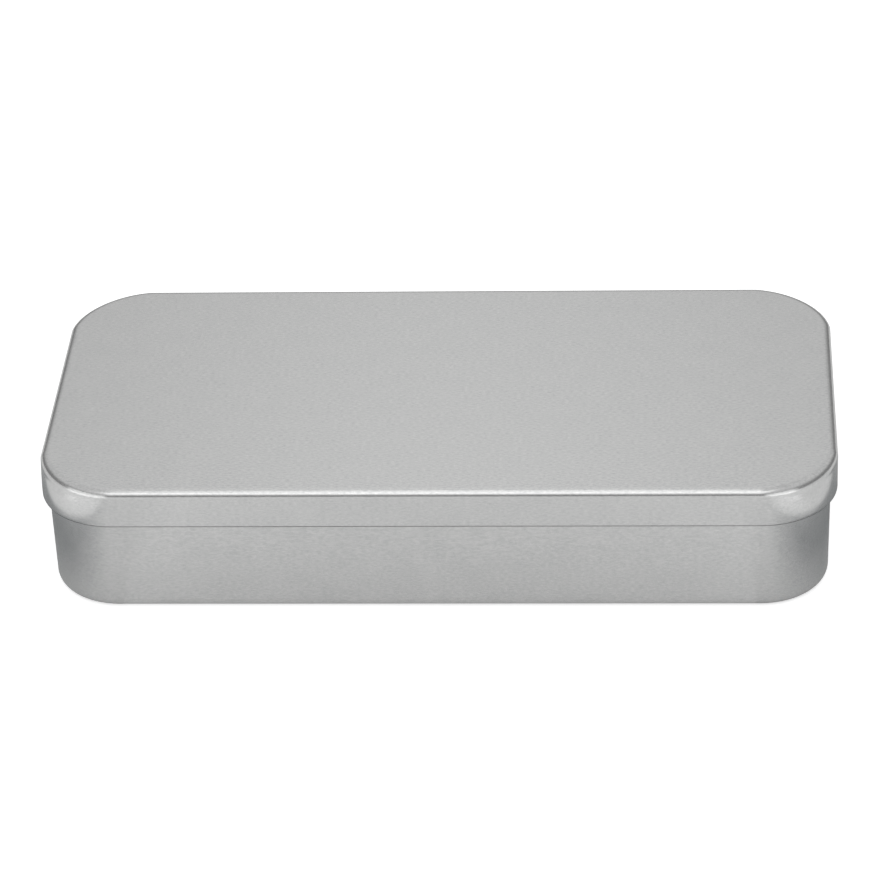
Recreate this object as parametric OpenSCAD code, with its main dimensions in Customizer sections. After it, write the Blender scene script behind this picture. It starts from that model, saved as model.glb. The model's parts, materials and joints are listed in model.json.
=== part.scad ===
// Rectangular tinplate card game box with a hinged slip-over lid.
// The underside is z = 0, the long side faces the front at -y, and the hinges are at the rear.

/* [Tin body] */
// Overall length of the closed tin, across the lid
tin_length = 196; // [180:1:220]
// Overall depth of the closed tin, across the lid
tin_depth = 100; // [95:1:120]
// Overall height of the closed tin
tin_height = 35; // [28:0.5:45]
// Thickness of the tinplate
sheet = 0.28; // [0.22:0.01:0.35]
// Outer radius of the lid's vertical corners
corner_radius = 19; // [12:0.5:24]
// Inward lean of the body wall towards the underside, in degrees
wall_lean = 0.9; // [0:0.1:2]
// Outer radius between body wall and underside
foot_radius = 3; // [1.5:0.5:5]
// Radius of the curled rim at the top of the body
rim_curl_radius = 0.55; // [0.45:0.05:0.7]

/* [Lid] */
// Height of the lid's skirt with the top
skirt_height = 9.5; // [7:0.5:12]
// Distance the lid stands out past the body wall
lid_overhang = 1.67; // [1.6:0.05:2]
// Outer radius between the lid's top and its skirt
lid_edge_radius = 1.8; // [1:0.1:3]
// Height of the folded hem inside the skirt's lower edge
hem_height = 2.2; // [1.5:0.1:3]

/* [Hinges] */
// Distance of each hinge from the middle of the tin
hinge_offset = 56; // [40:1:68]
// Radius of the hinge wire
wire_radius = 0.4; // [0.35:0.05:0.5]
// Running clearance around the wire in the lid's knuckle
wire_clearance = 0.05; // [0.02:0.01:0.1]
// Length of the lid's middle knuckle
lid_knuckle = 8; // [6:0.5:12]
// Length of each of the body's two outer knuckles
body_knuckle = 3; // [2.5:0.5:4]

/* [Insert tray] */
// Wall thickness of the moulded tray
tray_wall = 0.8; // [0.6:0.1:1.2]
// Height of the tray's top above the underside
tray_top = 27; // [24:0.5:28]
// Width of one card well
card_well = 65.5; // [64:0.5:67]
// Depth of the wells from front to rear
well_depth = 91; // [90:0.1:91.4]
// Width of the middle well for dice and tokens
middle_well = 39; // [30:0.5:40]
// Radius of the finger notches in the partitions
notch_radius = 11; // [9:0.5:13]

/* [Hidden] */
$fn = 64;

tin_grey = [0.74, 0.74, 0.73];
wire_grey = [0.62, 0.62, 0.63];
tray_black = [0.10, 0.10, 0.11];

// The corner centres are shared by the body, the lid and the tray
centre_x = tin_length / 2 - corner_radius;
centre_y = tin_depth / 2 - corner_radius;
skirt_edge = tin_height - skirt_height;
lid_under = tin_height - sheet;

// Body wall, seen as a profile outwards from a corner centre
body_radius = corner_radius - lid_overhang;
rim_gap = 0.3;
rim_z = lid_under - rim_gap - rim_curl_radius;
foot_rise = skirt_edge - foot_radius;
foot_centre = body_radius - (foot_radius + foot_rise * sin(wall_lean)) / cos(wall_lean);
rim_offset = foot_radius - rim_curl_radius;
wall_length = (rim_z - foot_radius + rim_offset * sin(wall_lean)) / cos(wall_lean);
rim_centre = foot_centre + rim_offset * cos(wall_lean) + wall_length * sin(wall_lean);
curl_end = 235;

// Hinge axis, placed so that the hem meets the rear wall at the end of the travel
knuckle_bore = wire_radius + wire_clearance;
knuckle_radius = knuckle_bore + sheet;
fixed_knuckle_radius = wire_radius + sheet;
wall_gap = 0.3;
rear_wall = centre_y + body_radius;
rear_skirt = centre_y + corner_radius;
lean_allowance = 0.02;
hinge_y = rear_wall + wall_gap + knuckle_radius + lean_allowance;
stop_angle = 106;
fold_radius = sheet;
skirt_out = rear_skirt - hinge_y;
stop_gap = hinge_y - rear_wall - lean_allowance;
hinge_z = skirt_edge + (stop_gap + skirt_out * cos(stop_angle)) / sin(stop_angle);
knuckle_gap = 0.3;
wire_end = 0.3;
wire_length = lid_knuckle + 2 * (knuckle_gap + body_knuckle + wire_end);

// The body's knuckles are tongues cut out of the rear wall and bent outwards
tongue_root_y = rear_wall - sheet / 2 - lean_allowance;
tongue_drop = 1.3;
tongue_root_z = skirt_edge - tongue_drop;
tongue_mid = wire_radius + sheet / 2;
tongue_dy = hinge_y - tongue_root_y;
tongue_dz = hinge_z - tongue_root_z;
tongue_reach = sqrt(tongue_dy * tongue_dy + tongue_dz * tongue_dz);
tongue_angle = atan2(tongue_dz, tongue_dy) - asin(tongue_mid / tongue_reach);
tongue_length = sqrt(tongue_reach * tongue_reach - tongue_mid * tongue_mid);
window_height = 4.6;
window_side = 0.25;

// The notch in the lid's hem clears the body's knuckles
notch_side = 0.3;
notch_clearance = 0.4;
notch_top = hinge_z + fixed_knuckle_radius + notch_clearance;
notch_reach = 3;

// The tray drops in past the curled rim and stands on low round feet
tray_clearance = 0.2;
tray_radius = rim_centre - rim_curl_radius - tray_clearance;
tray_base = 1.2;
well_radius = 4;
partition = 1.2;
card_well_x = (middle_well + card_well) / 2 + partition;
partition_x = (middle_well + partition) / 2;
notch_drop = 5;
foot_size = 4;
foot_x = 68;
foot_y = 34;
more = 1;

function knuckle_x(side) = side * (lid_knuckle + body_knuckle + 2 * knuckle_gap) / 2;

// A ring of sheet, open between the given angle and a full turn
module open_ring(outer, angle) {
    span = 3 * outer;
    middle = angle / 2 + 180;
    difference() {
        circle(r = outer);
        circle(r = outer - sheet);
        polygon([[0, 0],
                 span * [cos(angle), sin(angle)],
                 span * [cos(middle), sin(middle)],
                 [span, -span],
                 [span, 0]]);
    }
}

// The bend between underside and wall
module foot_bend() {
    difference() {
        circle(r = foot_radius);
        circle(r = foot_radius - sheet);
        translate([-2 * foot_radius, -2 * foot_radius]) square([2 * foot_radius, 4 * foot_radius]);
        rotate(-wall_lean) translate([-foot_radius, 0]) square(3 * foot_radius);
    }
}

// The wall stands on the bend and ends in a rim curled inwards
module leaning_wall() {
    rotate(-wall_lean) {
        translate([foot_radius - sheet, 0]) square([sheet, wall_length]);
        translate([rim_offset, wall_length]) open_ring(rim_curl_radius, curl_end);
    }
}

module body_profile() {
    square([foot_centre, sheet]);
    translate([foot_centre, foot_radius]) foot_bend();
    translate([foot_centre, foot_radius]) leaning_wall();
}

module lid_profile() {
    edge_x = corner_radius - lid_edge_radius;
    edge_z = tin_height - lid_edge_radius;
    fold_z = skirt_edge + fold_radius;
    translate([0, lid_under]) square([edge_x, sheet]);
    translate([edge_x, edge_z]) intersection() {
        difference() {
            circle(r = lid_edge_radius);
            circle(r = lid_edge_radius - sheet);
        }
        square(2 * lid_edge_radius);
    }
    translate([corner_radius - sheet, fold_z]) square([sheet, edge_z - fold_z]);
    translate([corner_radius - 2 * sheet, fold_z]) square([2 * sheet, hem_height - fold_radius]);
    translate([corner_radius - fold_radius, fold_z]) difference() {
        circle(r = fold_radius);
        translate([-2 * fold_radius, 0]) square(4 * fold_radius);
    }
}

// Carries a wall profile round the tin: four turned corners and four straight sides
module around_tin() {
    for (sx = [0, 1]) mirror([sx, 0, 0])
        for (sy = [0, 1]) mirror([0, sy, 0])
            translate([centre_x, centre_y, 0]) rotate_extrude(angle = 90) children();
    for (sx = [0, 1]) mirror([sx, 0, 0])
        translate([centre_x, centre_y, 0]) rotate([90, 0, 0])
            linear_extrude(height = 2 * centre_y) children();
    for (sy = [0, 1]) mirror([0, sy, 0])
        translate([-centre_x, centre_y, 0]) rotate([90, 0, 90])
            linear_extrude(height = 2 * centre_x) children();
}

module middle_panel(z, thickness) {
    translate([-centre_x, -centre_y, z]) cube([2 * centre_x, 2 * centre_y, thickness]);
}

// One knuckle as a tube on the hinge axis
module knuckle(x, length, outer, bore) {
    translate([x - length / 2, hinge_y, hinge_z]) rotate([0, 90, 0]) difference() {
        cylinder(r = outer, h = length);
        translate([0, 0, -more]) cylinder(r = bore, h = length + 2 * more);
    }
}

module body_knuckle_at(x) {
    knuckle(x, body_knuckle, fixed_knuckle_radius, wire_radius);
    difference() {
        translate([x - body_knuckle / 2, tongue_root_y, tongue_root_z]) rotate([tongue_angle, 0, 0])
            translate([0, 0, -sheet / 2]) cube([body_knuckle, tongue_length, sheet]);
        translate([x - body_knuckle, hinge_y, hinge_z]) rotate([0, 90, 0])
            cylinder(r = tongue_mid, h = 2 * body_knuckle);
    }
}

module wall_window(x) {
    translate([x - body_knuckle / 2 - window_side, rear_wall - 2 * sheet - more / 2, tongue_root_z + sheet / 2])
        cube([body_knuckle + 2 * window_side, 2 * sheet + more, window_height]);
}

module base_shell() {
    color(tin_grey) union() {
        difference() {
            union() {
                around_tin() body_profile();
                middle_panel(0, sheet);
            }
            for (hinge = [-1, 1], side = [-1, 1]) wall_window(hinge * hinge_offset + knuckle_x(side));
        }
        for (hinge = [-1, 1], side = [-1, 1]) body_knuckle_at(hinge * hinge_offset + knuckle_x(side));
    }
}

// The lid's tongue runs down from the skirt and joins its knuckle
module lid_tongue(x) {
    knuckle(x, lid_knuckle, knuckle_radius, knuckle_bore);
    difference() {
        translate([x - lid_knuckle / 2, rear_skirt - sheet, hinge_z])
            cube([lid_knuckle, sheet, notch_top - hinge_z + sheet]);
        translate([x - lid_knuckle, hinge_y, hinge_z]) rotate([0, 90, 0])
            cylinder(r = knuckle_bore + sheet / 2, h = 2 * lid_knuckle);
    }
}

module hem_notch(x) {
    width = lid_knuckle + 2 * (knuckle_gap + body_knuckle + notch_side);
    translate([x - width / 2, rear_skirt - notch_reach / 2, skirt_edge - more])
        cube([width, notch_reach, notch_top - skirt_edge + more]);
}

module lid_shell() {
    color(tin_grey) union() {
        difference() {
            union() {
                around_tin() lid_profile();
                middle_panel(lid_under, sheet);
            }
            for (hinge = [-1, 1]) hem_notch(hinge * hinge_offset);
        }
        for (hinge = [-1, 1]) lid_tongue(hinge * hinge_offset);
    }
}

module hinge_wire(x) {
    color(wire_grey) translate([x - wire_length / 2, hinge_y, hinge_z]) rotate([0, 90, 0])
        cylinder(r = wire_radius, h = wire_length);
}

module hinge_pin_left() {
    hinge_wire(-hinge_offset);
}

module hinge_pin_right() {
    hinge_wire(hinge_offset);
}

// A block with four round upright edges
module round_block(width, depth, height, radius) {
    for (sx = [-1, 1], sy = [-1, 1])
        translate([sx * (width / 2 - radius), sy * (depth / 2 - radius), 0]) cylinder(r = radius, h = height);
    translate([-width / 2, radius - depth / 2, 0]) cube([width, depth - 2 * radius, height]);
    translate([radius - width / 2, -depth / 2, 0]) cube([width - 2 * radius, depth, height]);
}

module wells(spread, floor_z, height) {
    depth = well_depth + 2 * spread;
    edge = well_radius + spread;
    for (side = [-1, 1]) translate([side * card_well_x, 0, floor_z])
        round_block(card_well + 2 * spread, depth, height, edge);
    translate([0, 0, floor_z]) round_block(middle_well + 2 * spread, depth, height, edge);
}

// A round-bottomed notch through one partition, for a fingertip beside the deck
module finger_notch(x) {
    width = partition + 2 * more;
    translate([x - width / 2, 0, tray_top - notch_drop]) rotate([0, 90, 0])
        cylinder(r = notch_radius, h = width);
    translate([x - width / 2, -notch_radius, tray_top - notch_drop])
        cube([width, 2 * notch_radius, notch_drop + more]);
}

module insert_tray() {
    color(tray_black) {
        difference() {
            union() {
                translate([0, 0, tray_top - tray_wall])
                    round_block(2 * (centre_x + tray_radius), 2 * (centre_y + tray_radius), tray_wall, tray_radius);
                wells(tray_wall, tray_base, tray_top - tray_base - tray_wall / 2);
            }
            wells(0, tray_base + tray_wall, tray_top);
            for (side = [-1, 1]) finger_notch(side * partition_x);
        }
        for (x = [-foot_x, 0, foot_x], side = [-1, 1]) translate([x, side * foot_y, sheet])
            cylinder(r = foot_size, h = tray_base - sheet + tray_wall / 2);
    }
}

base_shell();
insert_tray();
hinge_pin_left();
hinge_pin_right();
lid_shell();
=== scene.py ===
import bpy
import json
import math
from mathutils import Matrix, Vector


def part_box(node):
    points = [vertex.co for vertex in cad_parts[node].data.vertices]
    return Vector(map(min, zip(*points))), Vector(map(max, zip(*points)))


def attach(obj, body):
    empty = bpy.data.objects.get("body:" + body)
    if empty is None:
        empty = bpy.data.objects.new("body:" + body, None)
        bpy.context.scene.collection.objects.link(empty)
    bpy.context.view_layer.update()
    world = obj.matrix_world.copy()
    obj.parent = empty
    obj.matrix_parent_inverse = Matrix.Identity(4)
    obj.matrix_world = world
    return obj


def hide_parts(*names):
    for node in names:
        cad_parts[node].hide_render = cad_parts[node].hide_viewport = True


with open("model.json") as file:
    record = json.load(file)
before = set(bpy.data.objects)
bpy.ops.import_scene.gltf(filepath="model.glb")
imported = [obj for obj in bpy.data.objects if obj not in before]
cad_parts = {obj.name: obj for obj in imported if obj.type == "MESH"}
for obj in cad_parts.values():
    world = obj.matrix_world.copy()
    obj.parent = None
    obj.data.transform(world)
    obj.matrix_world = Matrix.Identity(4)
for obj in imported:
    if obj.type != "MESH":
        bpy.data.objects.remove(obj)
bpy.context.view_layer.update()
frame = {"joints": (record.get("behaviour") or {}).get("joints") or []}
mm = 0.001
near = 0.01 * mm           # places closer than this count as the same
mergeGap = 0.001 * mm      # vertices closer than this are merged


# small helpers for edit mode, used by every piece below

def deselectAll():
    if bpy.context.object and bpy.context.object.mode != "OBJECT":
        bpy.ops.object.mode_set(mode="OBJECT")
    bpy.ops.object.select_all(action="DESELECT")


def onlySelect(piece):
    deselectAll()
    piece.select_set(True)
    bpy.context.view_layer.objects.active = piece


def pickEdges(piece, test):  # selects the edges whose two ends pass the test
    bpy.ops.object.mode_set(mode="EDIT")
    bpy.ops.mesh.select_mode(type="EDGE")
    bpy.ops.mesh.select_all(action="DESELECT")
    bpy.ops.object.mode_set(mode="OBJECT")
    verts = piece.data.vertices
    for edge in piece.data.edges:
        edge.select = bool(test(verts[edge.vertices[0]].co, verts[edge.vertices[1]].co))
    bpy.ops.object.mode_set(mode="EDIT")


# camera, set from the photograph's outlines

cameraSetup = {
    "target": (-1.48 * mm, 2.72 * mm, 17.5 * mm),
    "turn": 4.02,         # degrees round from straight ahead
    "height": 31.38,      # degrees above the table
    "tilt": -2.27,        # degrees of roll
    "distance": 1.0558,
    "lens": 169.9,
    "sensor": 36,
    "clipStart": 0.01,
    "clipEnd": 50,
}


def addCamera(setup):
    turn, height, tilt = (math.radians(setup[key]) for key in ("turn", "height", "tilt"))
    back = Vector((math.sin(turn) * math.cos(height), -math.cos(turn) * math.cos(height), math.sin(height)))
    right = (-back).cross(Vector((0, 0, 1))).normalized()
    up = right.cross(-back).normalized()
    rightTilted = right * math.cos(tilt) + up * math.sin(tilt)
    upTilted = up * math.cos(tilt) - right * math.sin(tilt)
    lens = bpy.data.cameras.new("photoCamera")
    lens.sensor_width = setup["sensor"]
    lens.lens = setup["lens"]
    lens.clip_start = setup["clipStart"]
    lens.clip_end = setup["clipEnd"]
    camera = bpy.data.objects.new("photoCamera", lens)
    bpy.context.scene.collection.objects.link(camera)
    place = Vector(setup["target"]) + back * setup["distance"]
    turned = Matrix((rightTilted, upTilted, back)).transposed().to_4x4()
    camera.matrix_world = Matrix.Translation(place) @ turned
    bpy.context.scene.camera = camera


addCamera(cameraSetup)
print("camera placed")


# finishes

noiseRange = (0.3, 0.7)           # nearly all of a noise texture's values lie between these
mixFirst = 6                      # sockets of a Mix node that blends two colours
mixSecond = 7
mixResult = 2
tinFinish = {
    "light": (0.70, 0.70, 0.695),
    "dark": (0.56, 0.565, 0.565),
    "metal": 0.95,
    "roughness": 0.22,
    "clouds": 140,                # soft patches, per metre, as are the grain and the flecks
    "cloudTone": (0.38, 0.62),    # where they lie between dark and light
    "cloudRoughness": (-0.012, 0.015),
    "grain": 2600,
    "grainStretch": (0.35, 1.0, 1.0),
    "grainTone": 0.42,
    "fleck": 1500,
    "fleckReach": 0.12,
    "fleckTone": 0.5,
    "bump": 0.08,
    "bumpHeight": 0.01 * mm,
}
foldShadeFinish = {
    **tinFinish,
    "light": (0.34, 0.34, 0.34),  # painted shade: the bend along the skirt's lower edge is darkened for the shade in the gap under the lid
    "dark": (0.24, 0.24, 0.24),
    "roughness": 0.34,
}
wireFinish = {
    "colour": (0.42, 0.42, 0.43),
    "roughness": (0.24, 0.42),
    "drawnLines": 4000,
    "lineStretch": (0.02, 1.0, 1.0),
    "bump": 0.4,
    "bumpHeight": 0.01 * mm,
}
trayFinish = {
    "colour": (0.018, 0.018, 0.02),
    "sheen": (0.028, 0.028, 0.03),
    "roughness": (0.43, 0.58),
    "pebbles": 1400,
    "scuffs": 45,
    "bump": 0.3,
    "bumpHeight": 0.05 * mm,
}


def newFinish(name):
    finish = bpy.data.materials.new(name)
    finish.use_nodes = True
    nodes = finish.node_tree.nodes
    nodes.clear()
    output = nodes.new("ShaderNodeOutputMaterial")
    shader = nodes.new("ShaderNodeBsdfPrincipled")
    finish.node_tree.links.new(shader.outputs["BSDF"], output.inputs["Surface"])
    return finish, nodes, finish.node_tree.links, shader


def addNoise(nodes, links, coords, scale, detail=2.0, roughness=0.5, stretch=None):
    noise = nodes.new("ShaderNodeTexNoise")
    noise.inputs["Scale"].default_value = scale
    noise.inputs["Detail"].default_value = detail
    noise.inputs["Roughness"].default_value = roughness
    source = coords.outputs["Object"]
    if stretch:
        mapping = nodes.new("ShaderNodeMapping")
        mapping.inputs["Scale"].default_value = stretch
        links.new(source, mapping.inputs["Vector"])
        source = mapping.outputs["Vector"]
    links.new(source, noise.inputs["Vector"])
    return noise.outputs["Fac"]


def addRamp(nodes, links, source, fromRange, toRange, curve="LINEAR"):
    ramp = nodes.new("ShaderNodeMapRange")
    ramp.interpolation_type = curve
    ramp.inputs["From Min"].default_value = fromRange[0]
    ramp.inputs["From Max"].default_value = fromRange[1]
    ramp.inputs["To Min"].default_value = toRange[0]
    ramp.inputs["To Max"].default_value = toRange[1]
    links.new(source, ramp.inputs["Value"])
    return ramp.outputs["Result"]


def addMath(nodes, links, operation, *values):  # each value is a number or another node's output
    node = nodes.new("ShaderNodeMath")
    node.operation = operation
    for socket, value in zip(node.inputs, values):
        if isinstance(value, (int, float)):
            socket.default_value = value
        else:
            links.new(value, socket)
    return node.outputs["Value"]


def addToneMix(nodes, links, shader, first, second, share):
    mixTone = nodes.new("ShaderNodeMix")
    mixTone.data_type = "RGBA"
    mixTone.inputs[mixFirst].default_value = (*first, 1)
    mixTone.inputs[mixSecond].default_value = (*second, 1)
    links.new(share, mixTone.inputs["Factor"])
    links.new(mixTone.outputs[mixResult], shader.inputs["Base Color"])


def addBump(nodes, links, shader, source, setup):
    bump = nodes.new("ShaderNodeBump")
    bump.inputs["Strength"].default_value = setup["bump"]
    bump.inputs["Distance"].default_value = setup["bumpHeight"]
    links.new(source, bump.inputs["Height"])
    links.new(bump.outputs["Normal"], shader.inputs["Normal"])


def makeTinplate(name, setup):
    finish, nodes, links, shader = newFinish(name)
    coords = nodes.new("ShaderNodeTexCoord")
    clouds = addNoise(nodes, links, coords, setup["clouds"], detail=4.0, roughness=0.6)
    grain = addNoise(nodes, links, coords, setup["grain"], roughness=0.6, stretch=setup["grainStretch"])
    fleck = nodes.new("ShaderNodeTexVoronoi")
    fleck.inputs["Scale"].default_value = setup["fleck"]
    links.new(coords.outputs["Object"], fleck.inputs["Vector"])
    cloudTone = addRamp(nodes, links, clouds, noiseRange, setup["cloudTone"])
    grainTone = addRamp(nodes, links, grain, noiseRange, (-setup["grainTone"], setup["grainTone"]))
    fleckTone = addRamp(nodes, links, fleck.outputs["Distance"], (0.0, setup["fleckReach"]),
                        (setup["fleckTone"], 0.0))
    tone = addMath(nodes, links, "ADD", addMath(nodes, links, "ADD", cloudTone, grainTone), fleckTone)
    addToneMix(nodes, links, shader, setup["dark"], setup["light"], tone)
    rough = addRamp(nodes, links, clouds, noiseRange,
                    [setup["roughness"] + change for change in setup["cloudRoughness"]])
    links.new(rough, shader.inputs["Roughness"])
    addBump(nodes, links, shader, grain, setup)
    shader.inputs["Metallic"].default_value = setup["metal"]
    return finish


def makeWire(setup):
    finish, nodes, links, shader = newFinish("drawnWire")
    coords = nodes.new("ShaderNodeTexCoord")
    lines = addNoise(nodes, links, coords, setup["drawnLines"], stretch=setup["lineStretch"])
    rough = addRamp(nodes, links, lines, noiseRange, setup["roughness"])
    links.new(rough, shader.inputs["Roughness"])
    addBump(nodes, links, shader, lines, setup)
    shader.inputs["Base Color"].default_value = (*setup["colour"], 1)
    shader.inputs["Metallic"].default_value = 1.0
    return finish


def makeTrayPlastic(setup):
    finish, nodes, links, shader = newFinish("trayPlastic")
    coords = nodes.new("ShaderNodeTexCoord")
    pebbles = addNoise(nodes, links, coords, setup["pebbles"], detail=3.0, roughness=0.55)
    scuffs = addNoise(nodes, links, coords, setup["scuffs"], detail=5.0, roughness=0.6)
    addToneMix(nodes, links, shader, setup["colour"], setup["sheen"], scuffs)
    rough = addRamp(nodes, links, scuffs, noiseRange, setup["roughness"])
    links.new(rough, shader.inputs["Roughness"])
    addBump(nodes, links, shader, pebbles, setup)
    return finish


tinplate = makeTinplate("mattTinplate", tinFinish)
paintedFoldShade = makeTinplate("paintedFoldShade", foldShadeFinish)
wireSteel = makeWire(wireFinish)
trayPlastic = makeTrayPlastic(trayFinish)
print("finishes made")


def dress(piece, finish):
    piece.data.materials.clear()
    piece.data.materials.append(finish)


# modelling helpers, all working on the selection as by hand

def applyModifiers(piece):
    onlySelect(piece)
    for modifier in list(piece.modifiers):
        bpy.ops.object.modifier_apply(modifier=modifier.name)


def startPath(name, place):  # a piece that is one vertex, ready to be drawn on
    deselectAll()
    bpy.ops.mesh.primitive_plane_add(size=mm, location=place)
    piece = bpy.context.object
    piece.name = name
    piece.data.name = name
    bpy.ops.object.transform_apply(location=True, rotation=True, scale=True)
    bpy.ops.object.mode_set(mode="EDIT")
    bpy.ops.mesh.select_mode(type="VERT")
    bpy.ops.mesh.select_all(action="SELECT")
    bpy.ops.mesh.merge(type="CENTER")
    return piece


def lineBy(step):  # extrudes the selection by a step
    bpy.ops.mesh.extrude_region_move(TRANSFORM_OT_translate={"value": step})


def turnAbout(centre, axis, degrees, steps):  # spins the selection; spin counts its angle the other way
    bpy.ops.mesh.spin(steps=steps, angle=-math.radians(degrees), center=centre, axis=axis)


def mergeAndFaceOut():
    bpy.ops.mesh.select_all(action="SELECT")
    bpy.ops.mesh.remove_doubles(threshold=mergeGap)
    bpy.ops.mesh.normals_make_consistent(inside=False)


def addThickness(piece, thickness):  # sheet grows away from the outside face
    modifier = piece.modifiers.new("sheet", "SOLIDIFY")
    modifier.thickness = thickness
    modifier.offset = -1
    modifier.use_even_offset = True
    applyModifiers(piece)


def shadeSmooth(piece, degrees=40):
    onlySelect(piece)
    bpy.ops.object.shade_smooth_by_angle(angle=math.radians(degrees))


def addBlock(name, low, high, radius=0.0, steps=8, floorRound=0.0, floorSteps=4):
    # a block from corner to corner, with round upright edges and a rounded lower edge
    deselectAll()
    middle = [(a + b) / 2 for a, b in zip(low, high)]
    size = [b - a for a, b in zip(low, high)]
    bpy.ops.mesh.primitive_cube_add(size=1, location=middle, scale=size)
    block = bpy.context.object
    block.name = name
    bpy.ops.object.transform_apply(location=True, rotation=True, scale=True)
    if radius:
        pickEdges(block, lambda a, b: abs(a.z - b.z) > size[2] / 2)
        bpy.ops.mesh.bevel(offset=radius, segments=steps, clamp_overlap=False)
    if floorRound:
        pickEdges(block, lambda a, b: max(a.z, b.z) < low[2] + near)
        bpy.ops.mesh.bevel(offset=floorRound, segments=floorSteps)
    bpy.ops.object.mode_set(mode="OBJECT")
    return block


def combine(piece, other, operation):  # union or difference with a helper that is then deleted
    modifier = piece.modifiers.new("combine", "BOOLEAN")
    modifier.operation = operation
    modifier.solver = "EXACT"
    modifier.object = other
    applyModifiers(piece)
    bpy.data.objects.remove(other)


def sweepRoundTin(piece, centre, panelHeight, cornerSteps, support):
    # carries the drawn profile round one quarter of the tin, then mirrors it to the other three
    bpy.ops.mesh.select_all(action="SELECT")
    turnAbout((centre[0], centre[1], 0), (0, 0, 1), 90, cornerSteps)
    lineBy((-support, 0, 0))
    lineBy((support - centre[0], 0, 0))
    pickEdges(piece, lambda a, b: abs(a.y - centre[1]) < near and abs(b.y - centre[1]) < near
              and min(a.x, b.x) > centre[0] - near)
    lineBy((0, -support, 0))
    lineBy((0, support - centre[1], 0))
    pickEdges(piece, lambda a, b: max(abs(a.x - centre[0]), abs(b.x - centre[0])) < near
              and max(a.y, b.y) < centre[1] + near
              and max(abs(a.z - panelHeight), abs(b.z - panelHeight)) < near)
    lineBy((-support, 0, 0))
    lineBy((support - centre[0], 0, 0))
    mergeAndFaceOut()
    bpy.ops.object.mode_set(mode="OBJECT")
    mirror = piece.modifiers.new("fourQuarters", "MIRROR")
    mirror.use_axis = (True, True, False)
    mirror.use_clip = True
    mirror.merge_threshold = 2 * mergeGap
    applyModifiers(piece)
    bpy.ops.object.mode_set(mode="EDIT")
    mergeAndFaceOut()
    bpy.ops.object.mode_set(mode="OBJECT")


# driving places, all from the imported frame

lidLow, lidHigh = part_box("lid_shell")
bodyLow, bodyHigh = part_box("base_shell")
wireLow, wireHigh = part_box("hinge_pin_right")
hinge = Vector(frame["joints"][0]["pos_m"])
hinge.x = 0.0
hingeX = (wireLow.x + wireHigh.x) / 2
sheet = 0.26 * mm

tinOutline = {
    "cornerRadius": 19 * mm,
    "cornerSteps": 28,
    "support": 0.5 * mm,       # a narrow strip beside each round edge keeps the flat panels truly flat
}
cornerCentre = (lidHigh.x - tinOutline["cornerRadius"], -lidLow.y - tinOutline["cornerRadius"])
tinDepth = lidHigh.y - lidLow.y


# lid: one drawn sheet, its lower edge folded inwards as a hem

lidShape = {
    "edgeRadius": 1.8 * mm,
    "edgeSteps": 14,
    "cornerIn": 0.3 * mm,     # what the rounded edge gains inwards and downwards, half way round a corner
    "cornerDown": 0.9 * mm,
    "cornerLean": 0.9 * mm,   # how far the top of the skirt leans in there
    "skirtRings": 8,
    "foldRadius": 0.43 * mm,
    "frontDrop": 0.6 * mm,    # the skirt is that much deeper at the front than over the hinges
    "foldSteps": 8,
    "hemHeight": 2.2 * mm,
    "notchWidth": 15.6 * mm,
    "notchTop": hinge.z + 1.08 * mm,
    "notchRound": 0.5 * mm,
    "notchSteps": 4,
    "notchFrom": -1 * mm,     # from there to there, counted rearwards from the hinge
    "notchTo": 2 * mm,
}


def skirtDrop(y, setup):  # nothing over the hinges, all of it at the front
    return setup["frontDrop"] * (0.5 - y / tinDepth)


def softenLidCorners(lid, setup):
    # a deep-drawn corner is rounder than the straight edges, most of all half way round it
    edge = setup["edgeRadius"]
    skirtLow = lidLow.z + setup["foldRadius"] + tinOutline["support"]
    skirtHigh = lidHigh.z - edge - tinOutline["support"]
    for vert in lid.data.vertices:
        reach = min(max((skirtHigh - vert.co.z) / (skirtHigh - skirtLow), 0), 1)
        vert.co.z -= reach * skirtDrop(vert.co.y, setup)
    arcX, arcZ = tinOutline["cornerRadius"] - edge, lidHigh.z - edge
    for vert in lid.data.vertices:
        x, y = abs(vert.co.x) - cornerCentre[0], abs(vert.co.y) - cornerCentre[1]
        reach = math.hypot(x, y)
        if min(x, y) < near or reach < arcX - tinOutline["support"] - near:
            continue
        swell = math.sin(2 * math.atan2(y, x))
        inwards, down = setup["cornerIn"] * swell, setup["cornerDown"] * swell
        rise = min(max((vert.co.z - skirtLow) / (arcZ - skirtLow), 0), 1)
        lean = setup["cornerLean"] * swell * rise * rise
        if reach < arcX - near:
            newReach, newZ = reach - inwards - lean, vert.co.z
        elif vert.co.z > arcZ - near:
            angle = math.atan2(reach - arcX, vert.co.z - arcZ)
            newReach = arcX - inwards - lean + (edge + inwards) * math.sin(angle)
            newZ = arcZ - down + (edge + down) * math.cos(angle)
        elif vert.co.z > arcZ - tinOutline["support"] - near:
            newReach, newZ = reach - lean, vert.co.z - down
        else:
            newReach, newZ = reach - lean, vert.co.z - down * rise
        vert.co.x = math.copysign(cornerCentre[0] + x * newReach / reach, vert.co.x)
        vert.co.y = math.copysign(cornerCentre[1] + y * newReach / reach, vert.co.y)
        vert.co.z = newZ


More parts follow.
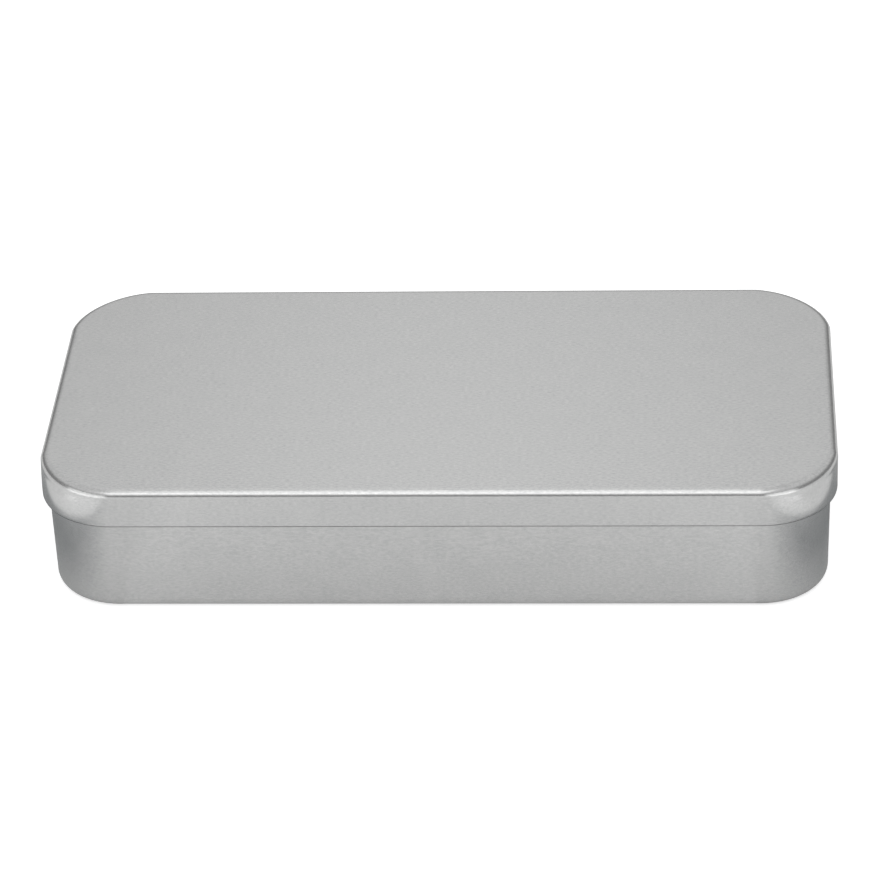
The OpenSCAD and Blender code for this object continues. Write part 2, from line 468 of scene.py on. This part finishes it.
def makeLid(setup):
    support = tinOutline["support"]
    outer = cornerCentre[0] + tinOutline["cornerRadius"]
    edge, fold = setup["edgeRadius"], setup["foldRadius"]
    top, bottom = lidHigh.z, lidLow.z
    depth = cornerCentre[1]
    lid = startPath("lidSheet", (cornerCentre[0], depth, top))
    lineBy((tinOutline["cornerRadius"] - edge - support, 0, 0))
    lineBy((support, 0, 0))
    turnAbout((outer - edge, depth, top - edge), (0, 1, 0), 90, setup["edgeSteps"])
    lineBy((0, 0, -support))
    ringHeight = (top - edge - fold - bottom - 2 * support) / setup["skirtRings"]
    for ring in range(setup["skirtRings"]):
        lineBy((0, 0, -ringHeight))
    lineBy((0, 0, -support))
    turnAbout((outer - fold, depth, bottom + fold), (0, 1, 0), 180, setup["foldSteps"])
    lineBy((0, 0, setup["hemHeight"] - fold))
    sweepRoundTin(lid, cornerCentre, top, tinOutline["cornerSteps"], support)
    softenLidCorners(lid, setup)
    addThickness(lid, sheet)
    for side in (-1, 1):
        half = setup["notchWidth"] / 2
        cutter = addBlock("hemNotch", (side * hingeX - half, hinge.y + setup["notchFrom"], bottom - mm),
                          (side * hingeX + half, hinge.y + setup["notchTo"], setup["notchTop"]))
        pickEdges(cutter, lambda a, b: min(a.z, b.z) > setup["notchTop"] - near and abs(a.x - b.x) < near)
        bpy.ops.mesh.bevel(offset=setup["notchRound"], segments=setup["notchSteps"])
        bpy.ops.object.mode_set(mode="OBJECT")
        combine(lid, cutter, "DIFFERENCE")
    shadeSmooth(lid)
    dress(lid, tinplate)
    # painted shade: the fold's faces along the skirt's lower edge get the darkened second finish
    lid.data.materials.append(paintedFoldShade)
    for face in lid.data.polygons:
        if face.center.z < bottom + fold - skirtDrop(face.center.y, setup):
            face.material_index = 1
    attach(lid, "lid")
    return lid


lidSheet = makeLid(lidShape)
print("lid pressed, with its hem and notches")


# body: one drawn sheet with a rounded foot, leaning walls and a rim curled inwards

bodyShape = {
    "cornerRadius": 17.33 * mm,   # at the height of the lid's lower edge
    "lean": 0.9,
    "footRadius": 3 * mm,
    "footSteps": 14,
    "curlRadius": 0.55 * mm,
    "curlTurn": 235,
    "curlSteps": 14,
    "rimTuck": 0.5 * mm,          # the rim is drawn in half way round a corner, to clear the lid's corners
    "tuckAbove": 1 * mm,          # that begins this far above the lid's lower edge, out of sight
    "windowWidth": 3.5 * mm,
    "windowLow": 24.34 * mm,
    "windowHeight": 4.6 * mm,
    "windowFrom": -1.1 * mm,      # from there to there, counted rearwards from the rear wall
    "windowTo": 0.5 * mm,
    "knuckleStep": 5.8 * mm,      # from the middle of a hinge to the middle of its outer knuckles
}


def tuckBodyCorners(body, setup):
    low = lidLow.z + setup["tuckAbove"]
    for vert in body.data.vertices:
        x, y = abs(vert.co.x) - cornerCentre[0], abs(vert.co.y) - cornerCentre[1]
        if min(x, y) < near or vert.co.z < low:
            continue
        reach = math.hypot(x, y)
        swell = math.sin(2 * math.atan2(y, x))
        newReach = reach - setup["rimTuck"] * swell * (vert.co.z - low) / (bodyHigh.z - low)
        vert.co.x = math.copysign(cornerCentre[0] + x * newReach / reach, vert.co.x)
        vert.co.y = math.copysign(cornerCentre[1] + y * newReach / reach, vert.co.y)


def makeBody(setup):
    support = tinOutline["support"]
    depth = cornerCentre[1]
    lean = math.radians(setup["lean"])
    foot, curl = setup["footRadius"], setup["curlRadius"]
    footCentre = setup["cornerRadius"] - (foot + (lidLow.z - foot) * math.sin(lean)) / math.cos(lean)
    wallLength = (bodyHigh.z - curl - foot + (foot - curl) * math.sin(lean)) / math.cos(lean)
    shown = (lidLow.z + setup["tuckAbove"] - foot * (1 - math.sin(lean))) / math.cos(lean)
    wall = Vector((math.sin(lean), 0, math.cos(lean)))
    outwards = Vector((math.cos(lean), 0, -math.sin(lean)))
    footPoint = Vector((cornerCentre[0] + footCentre, depth, foot))
    body = startPath("bodySheet", (cornerCentre[0], depth, 0))
    lineBy((footCentre - support, 0, 0))
    lineBy((support, 0, 0))
    turnAbout(footPoint, (0, 1, 0), -(90 - setup["lean"]), setup["footSteps"])
    lineBy(wall * support)
    lineBy(wall * (shown - support))
    lineBy(wall * (wallLength - support - shown))
    lineBy(wall * support)
    turnAbout(footPoint + outwards * (foot - curl) + wall * wallLength, (0, 1, 0), -setup["curlTurn"],
              setup["curlSteps"])
    sweepRoundTin(body, cornerCentre, 0, tinOutline["cornerSteps"], support)
    tuckBodyCorners(body, setup)
    addThickness(body, sheet)
    rearWall = cornerCentre[1] + setup["cornerRadius"]
    for place in (-1, 1):
        for side in (-1, 1):
            middle = place * hingeX + side * setup["knuckleStep"]
            half = setup["windowWidth"] / 2
            low, high = setup["windowLow"], setup["windowLow"] + setup["windowHeight"]
            cutter = addBlock("wallWindow", (middle - half, rearWall + setup["windowFrom"], low),
                              (middle + half, rearWall + setup["windowTo"], high))
            combine(body, cutter, "DIFFERENCE")
    shadeSmooth(body)
    dress(body, tinplate)
    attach(body, "tin_body")
    return body


bodySheet = makeBody(bodyShape)
print("body pressed, with its curled rim and hinge windows")


# hinge knuckles: tongues of the same sheet, curled round a wire

knuckleShape = {
    "lidRadius": 0.73 * mm,
    "lidRoot": 0.2 * mm,                    # where the lid's tongue starts, above the notch
    "lidWidth": 8 * mm,
    "bodyRadius": 0.68 * mm,
    "bodyWidth": 3 * mm,
    "bodyRoot": (48.28 * mm, 24.29 * mm),   # where the tongue's lower face leaves the rear wall
    "turn": 335,
    "steps": 30,
}


def makeKnuckle(name, start, radius, turn, middle, width, body):
    # a straight tongue from start, tangent to the curl that goes round the hinge axis
    side = 1 if turn > 0 else -1
    reach = Vector((start[0] - hinge.y, start[1] - hinge.z))
    distance = reach.length
    bearing = math.atan2(reach.y, reach.x) + side * math.acos(radius / distance)
    tangent = Vector((0, hinge.y + radius * math.cos(bearing), hinge.z + radius * math.sin(bearing)))
    left = middle - width / 2
    piece = startPath(name, (left, start[0], start[1]))
    lineBy(tangent - Vector((0, start[0], start[1])))
    turnAbout((left, hinge.y, hinge.z), (1, 0, 0), turn, knuckleShape["steps"])
    bpy.ops.mesh.select_all(action="SELECT")
    lineBy((width, 0, 0))
    mergeAndFaceOut()
    bpy.ops.object.mode_set(mode="OBJECT")
    addThickness(piece, sheet)
    shadeSmooth(piece)
    dress(piece, tinplate)
    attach(piece, body)
    return piece


lidRoot = (-lidLow.y, lidShape["notchTop"] + knuckleShape["lidRoot"])
for place, placeName in ((-1, "Left"), (1, "Right")):
    makeKnuckle("lidKnuckle" + placeName, lidRoot, knuckleShape["lidRadius"], -knuckleShape["turn"],
                place * hingeX, knuckleShape["lidWidth"], "lid")
    for side, sideName in ((-1, "A"), (1, "B")):
        makeKnuckle("bodyKnuckle" + placeName + sideName, knuckleShape["bodyRoot"],
                    knuckleShape["bodyRadius"], knuckleShape["turn"],
                    place * hingeX + side * bodyShape["knuckleStep"], knuckleShape["bodyWidth"], "tin_body")
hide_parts("lid_shell")
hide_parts("base_shell")
print("knuckles curled")


# hinge wires

wireShape = {"radius": 0.4 * mm, "endRound": 0.12 * mm, "endSteps": 3, "sides": 32}


def makeWirePiece(name, nodeName, setup):
    low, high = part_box(nodeName)
    deselectAll()
    bpy.ops.mesh.primitive_cylinder_add(vertices=setup["sides"], radius=setup["radius"], depth=high.x - low.x,
                                        location=(low + high) / 2, rotation=(0, math.pi / 2, 0))
    piece = bpy.context.object
    piece.name = name
    bpy.ops.object.transform_apply(location=True, rotation=True, scale=True)
    for end in (low.x, high.x):
        pickEdges(piece, lambda a, b: max(abs(a.x - end), abs(b.x - end)) < near)
        bpy.ops.mesh.bevel(offset=setup["endRound"], segments=setup["endSteps"])
    bpy.ops.object.mode_set(mode="OBJECT")
    shadeSmooth(piece)
    dress(piece, wireSteel)
    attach(piece, "tin_body")
    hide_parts(nodeName)
    return piece


makeWirePiece("hingeWireLeft", "hinge_pin_left", wireShape)
makeWirePiece("hingeWireRight", "hinge_pin_right", wireShape)
print("hinge wires cut")


# moulded tray with two card wells, a middle well and finger notches

trayShape = {
    "plate": 0.8 * mm,
    "floor": 1.2 * mm,
    "wall": 0.8 * mm,
    "outerRadius": 16.16 * mm,
    "outerSteps": 20,
    "wellRadius": 4 * mm,
    "wellSteps": 8,
    "wellDepth": 91 * mm,
    "cardWell": 65.5 * mm,
    "middleWell": 39 * mm,
    "partition": 1.2 * mm,
    "floorRound": 1.4 * mm,
    "lipRound": 0.35 * mm,
    "lipSteps": 3,
    "lipAngle": 50,            # edges sharper than this are rounded
    "notchRadius": 11 * mm,
    "notchLow": 11 * mm,
    "notchHalfWidth": 1.6 * mm,
    "notchRound": 0.98,        # share of the radius that its lower corners are rounded by
    "notchSteps": 14,
    "footRadius": 4 * mm,
    "footSides": 32,
    "footX": 68 * mm,
    "footY": 34 * mm,
}


def makeTray(setup):
    low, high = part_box("insert_tray")
    wall, partition = setup["wall"], setup["partition"]
    cardX = (setup["middleWell"] + setup["cardWell"]) / 2 + partition
    wells = [(-cardX, setup["cardWell"]), (0, setup["middleWell"]), (cardX, setup["cardWell"])]
    tray = addBlock("cardTray", (low.x, low.y, high.z - setup["plate"]), high, setup["outerRadius"],
                    setup["outerSteps"])
    halfDepth = setup["wellDepth"] / 2
    for x, width in wells:
        half = width / 2 + wall
        outer = addBlock("wellOutside", (x - half, -halfDepth - wall, setup["floor"]),
                         (x + half, halfDepth + wall, high.z - setup["plate"] / 2),
                         setup["wellRadius"] + wall, setup["wellSteps"], setup["floorRound"] + wall)
        combine(tray, outer, "UNION")
    footMiddle = low.z + setup["floor"] / 2
    for x in (-setup["footX"], 0, setup["footX"]):
        for side in (-1, 1):
            deselectAll()
            bpy.ops.mesh.primitive_cylinder_add(vertices=setup["footSides"], radius=setup["footRadius"],
                                                depth=setup["floor"],
                                                location=(x, side * setup["footY"], footMiddle))
            foot = bpy.context.object
            bpy.ops.object.transform_apply(location=True)
            combine(tray, foot, "UNION")
    for x, width in wells:
        inner = addBlock("wellInside", (x - width / 2, -halfDepth, setup["floor"] + wall),
                         (x + width / 2, halfDepth, high.z + mm), setup["wellRadius"], setup["wellSteps"],
                         setup["floorRound"])
        combine(tray, inner, "DIFFERENCE")
    radius, half = setup["notchRadius"], setup["notchHalfWidth"]
    for side in (-1, 1):
        x = side * (setup["middleWell"] + partition) / 2
        notch = addBlock("fingerNotch", (x - half, -radius, setup["notchLow"]),
                         (x + half, radius, high.z + mm))
        pickEdges(notch, lambda a, b: max(a.z, b.z) < setup["notchLow"] + near and abs(a.y - b.y) < near)
        bpy.ops.mesh.bevel(offset=radius * setup["notchRound"], segments=setup["notchSteps"])
        bpy.ops.object.mode_set(mode="OBJECT")
        combine(tray, notch, "DIFFERENCE")
    lip = tray.modifiers.new("softEdges", "BEVEL")
    lip.width = setup["lipRound"]
    lip.segments = setup["lipSteps"]
    lip.limit_method = "ANGLE"
    lip.angle_limit = math.radians(setup["lipAngle"])
    applyModifiers(tray)
    shadeSmooth(tray)
    dress(tray, trayPlastic)
    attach(tray, "tin_body")
    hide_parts("insert_tray")
    return tray


makeTray(trayShape)
print("tray moulded")


# table top, world and lamps

studio = {
    "floorSize": 8.0,
    "floorColour": (0.74, 0.74, 0.74),
    "floorLift": 0.6,       # light added to the table as the camera sees it
    "mirrorLift": 0.08,     # the same, as the metal sees it
    "world": 0.83,          # what the room gives as light
    "white": 1.0,           # what it shows
    "flag": 0.32,           # what the metal sees of it low down, as with dark flags round the horizon
    "flagLow": 0.25,        # sine of the height where they start to fade
    "flagHigh": 0.57,       # and where they have faded
    "skyInMetal": 0.95,     # what the metal sees of it above them
    "sideMiddle": -0.055,   # there it is brightest, and it falls off to both sides
    "sideWidth": 0.16,
    "sideShade": 0.72,
}
lamps = {
    "frontSoftbox": {"place": (0, -0.68, 0.80), "aim": (0, -0.68, 0), "size": (1.0, 0.7), "power": 1.5},
    "overheadStrip": {"place": (0, -0.13, 0.80), "aim": (0, -0.13, 0), "size": (0.36, 0.4), "power": 0.19},
    "leftCard": {"place": (-0.169, -0.1185, 0.0415), "aim": (-0.088, -0.044, 0.03), "size": (0.12, 0.062),
                 "power": 0.0203},
    "rightCard": {"place": (0.156, -0.131, 0.0415), "aim": (0.088, -0.044, 0.03), "size": (0.085, 0.062),
                  "power": 0.0152},
}
shadeReflectionCards = {               # painted reflection of shade: cards beside the tin, seen in its metal only, that darken both ends
    "near": 0.078,
    "farFront": 0.106,
    "farRear": 0.22,
    "front": -0.11,
    "rear": 0.13,
    "lift": 0.1 * mm,
    "pale": (0.74, 0.74, 0.74),
    "dark": (0.315, 0.325, 0.33),
    "roughness": 0.9,
    "rearShare": 0.23,      # the painted shade darkens with the distance outwards and this share of that rearwards
    "fadeStart": 0.071,
    "fadeEnd": 0.1068,
    "rearFade": 0.06,       # pale again from this far back
}


def makeSeen(nodes, links):  # 1 for what is seen directly, in a reflection or through glass
    path = nodes.new("ShaderNodeLightPath")
    seen = path.outputs["Is Camera Ray"]
    for name in ("Is Glossy Ray", "Is Transmission Ray"):
        seen = addMath(nodes, links, "MAXIMUM", seen, path.outputs[name])
    return path, seen


def addTable(setup):
    deselectAll()
    bpy.ops.mesh.primitive_plane_add(size=setup["floorSize"], location=(0, 0, 0))
    table = bpy.context.object
    table.name = "tableTop"
    finish = bpy.data.materials.new("paleTable")
    finish.use_nodes = True
    nodes, links = finish.node_tree.nodes, finish.node_tree.links
    nodes.clear()
    output = nodes.new("ShaderNodeOutputMaterial")
    diffuse = nodes.new("ShaderNodeBsdfDiffuse")
    diffuse.inputs["Color"].default_value = (*setup["floorColour"], 1)
    glow = nodes.new("ShaderNodeEmission")
    path, seen = makeSeen(nodes, links)
    lift = addRamp(nodes, links, path.outputs["Is Camera Ray"], (0.0, 1.0),
                   (setup["mirrorLift"], setup["floorLift"]))
    links.new(addMath(nodes, links, "MULTIPLY", seen, lift), glow.inputs["Strength"])
    both = nodes.new("ShaderNodeAddShader")
    links.new(diffuse.outputs["BSDF"], both.inputs[0])
    links.new(glow.outputs["Emission"], both.inputs[1])
    links.new(both.outputs["Shader"], output.inputs["Surface"])
    dress(table, finish)


def addShadeReflectionCards(setup):
    finish, nodes, links, shader = newFinish("shadeReflectionCard")
    coords = nodes.new("ShaderNodeTexCoord")
    place = nodes.new("ShaderNodeSeparateXYZ")
    links.new(coords.outputs["Object"], place.inputs["Vector"])
    outwards = addMath(nodes, links, "ABSOLUTE", place.outputs["X"])
    rearwards = addMath(nodes, links, "MULTIPLY", place.outputs["Y"], setup["rearShare"])
    distance = addMath(nodes, links, "ADD", outwards, rearwards)
    fade = addRamp(nodes, links, distance, (setup["fadeStart"], setup["fadeEnd"]), (0.0, 1.0))
    rearFade = addRamp(nodes, links, place.outputs["Y"], (0.0, setup["rearFade"]), (1.0, 0.0))
    share = addMath(nodes, links, "MULTIPLY", fade, rearFade)
    # painted reflection of shade: pale near the tin's ends, darker outwards, gone again to the rear
    addToneMix(nodes, links, shader, setup["pale"], setup["dark"], share)
    shader.inputs["Roughness"].default_value = setup["roughness"]
    shader.inputs["Specular IOR Level"].default_value = 0.0
    for side in (-1, 1):
        deselectAll()
        bpy.ops.mesh.primitive_plane_add(size=1, location=(0, 0, 0))
        card = bpy.context.object
        card.name = "shadeReflectionCard"
        for vert in card.data.vertices:
            atRear, outside = vert.co.y > 0, vert.co.x > 0
            far = setup["farRear"] if atRear else setup["farFront"]
            vert.co.x = side * (far if outside else setup["near"])
            vert.co.y = setup["rear"] if atRear else setup["front"]
            vert.co.z = setup["lift"]
        card.visible_camera = False
        card.visible_diffuse = False
        card.visible_shadow = False
        dress(card, finish)


def addWorld(setup):
    world = bpy.data.worlds.new("paleRoom")
    bpy.context.scene.world = world
    world.use_nodes = True
    nodes, links = world.node_tree.nodes, world.node_tree.links
    nodes.clear()
    output = nodes.new("ShaderNodeOutputWorld")
    background = nodes.new("ShaderNodeBackground")
    background.inputs["Color"].default_value = (1, 1, 1, 1)
    path, seen = makeSeen(nodes, links)
    strength = addRamp(nodes, links, seen, (0.0, 1.0), (setup["world"], setup["white"]))
    coords = nodes.new("ShaderNodeTexCoord")
    direction = nodes.new("ShaderNodeSeparateXYZ")
    links.new(coords.outputs["Generated"], direction.inputs["Vector"])
    flag = addRamp(nodes, links, direction.outputs["Z"], (setup["flagLow"], setup["flagHigh"]),
                   (setup["flag"], setup["skyInMetal"]), "SMOOTHSTEP")
    sideways = addMath(nodes, links, "SUBTRACT", direction.outputs["X"], setup["sideMiddle"])
    sideFade = addRamp(nodes, links, addMath(nodes, links, "ABSOLUTE", sideways), (0.0, setup["sideWidth"]),
                       (1.0, setup["sideShade"]), "SMOOTHSTEP")
    inMetal = nodes.new("ShaderNodeMix")
    inMetal.inputs["A"].default_value = 1.0
    links.new(addMath(nodes, links, "MULTIPLY", flag, sideFade), inMetal.inputs["B"])
    links.new(path.outputs["Is Glossy Ray"], inMetal.inputs["Factor"])
    brightness = addMath(nodes, links, "MULTIPLY", strength, inMetal.outputs["Result"])
    links.new(brightness, background.inputs["Strength"])
    links.new(background.outputs["Background"], output.inputs["Surface"])


def addLamp(name, setup):
    data = bpy.data.lights.new(name, "AREA")
    data.shape = "RECTANGLE"
    data.size, data.size_y = setup["size"]
    data.energy = setup["power"]
    lamp = bpy.data.objects.new(name, data)
    bpy.context.scene.collection.objects.link(lamp)
    lamp.location = setup["place"]
    lamp.visible_camera = False
    away = Vector(setup["place"]) - Vector(setup["aim"])
    lamp.rotation_mode = "QUATERNION"
    lamp.rotation_quaternion = away.to_track_quat("Z", "Y")


addTable(studio)
addShadeReflectionCards(shadeReflectionCards)
addWorld(studio)
for lampName, lampSetup in lamps.items():
    addLamp(lampName, lampSetup)
bpy.context.scene.view_settings.view_transform = "Standard"
print("studio lit")
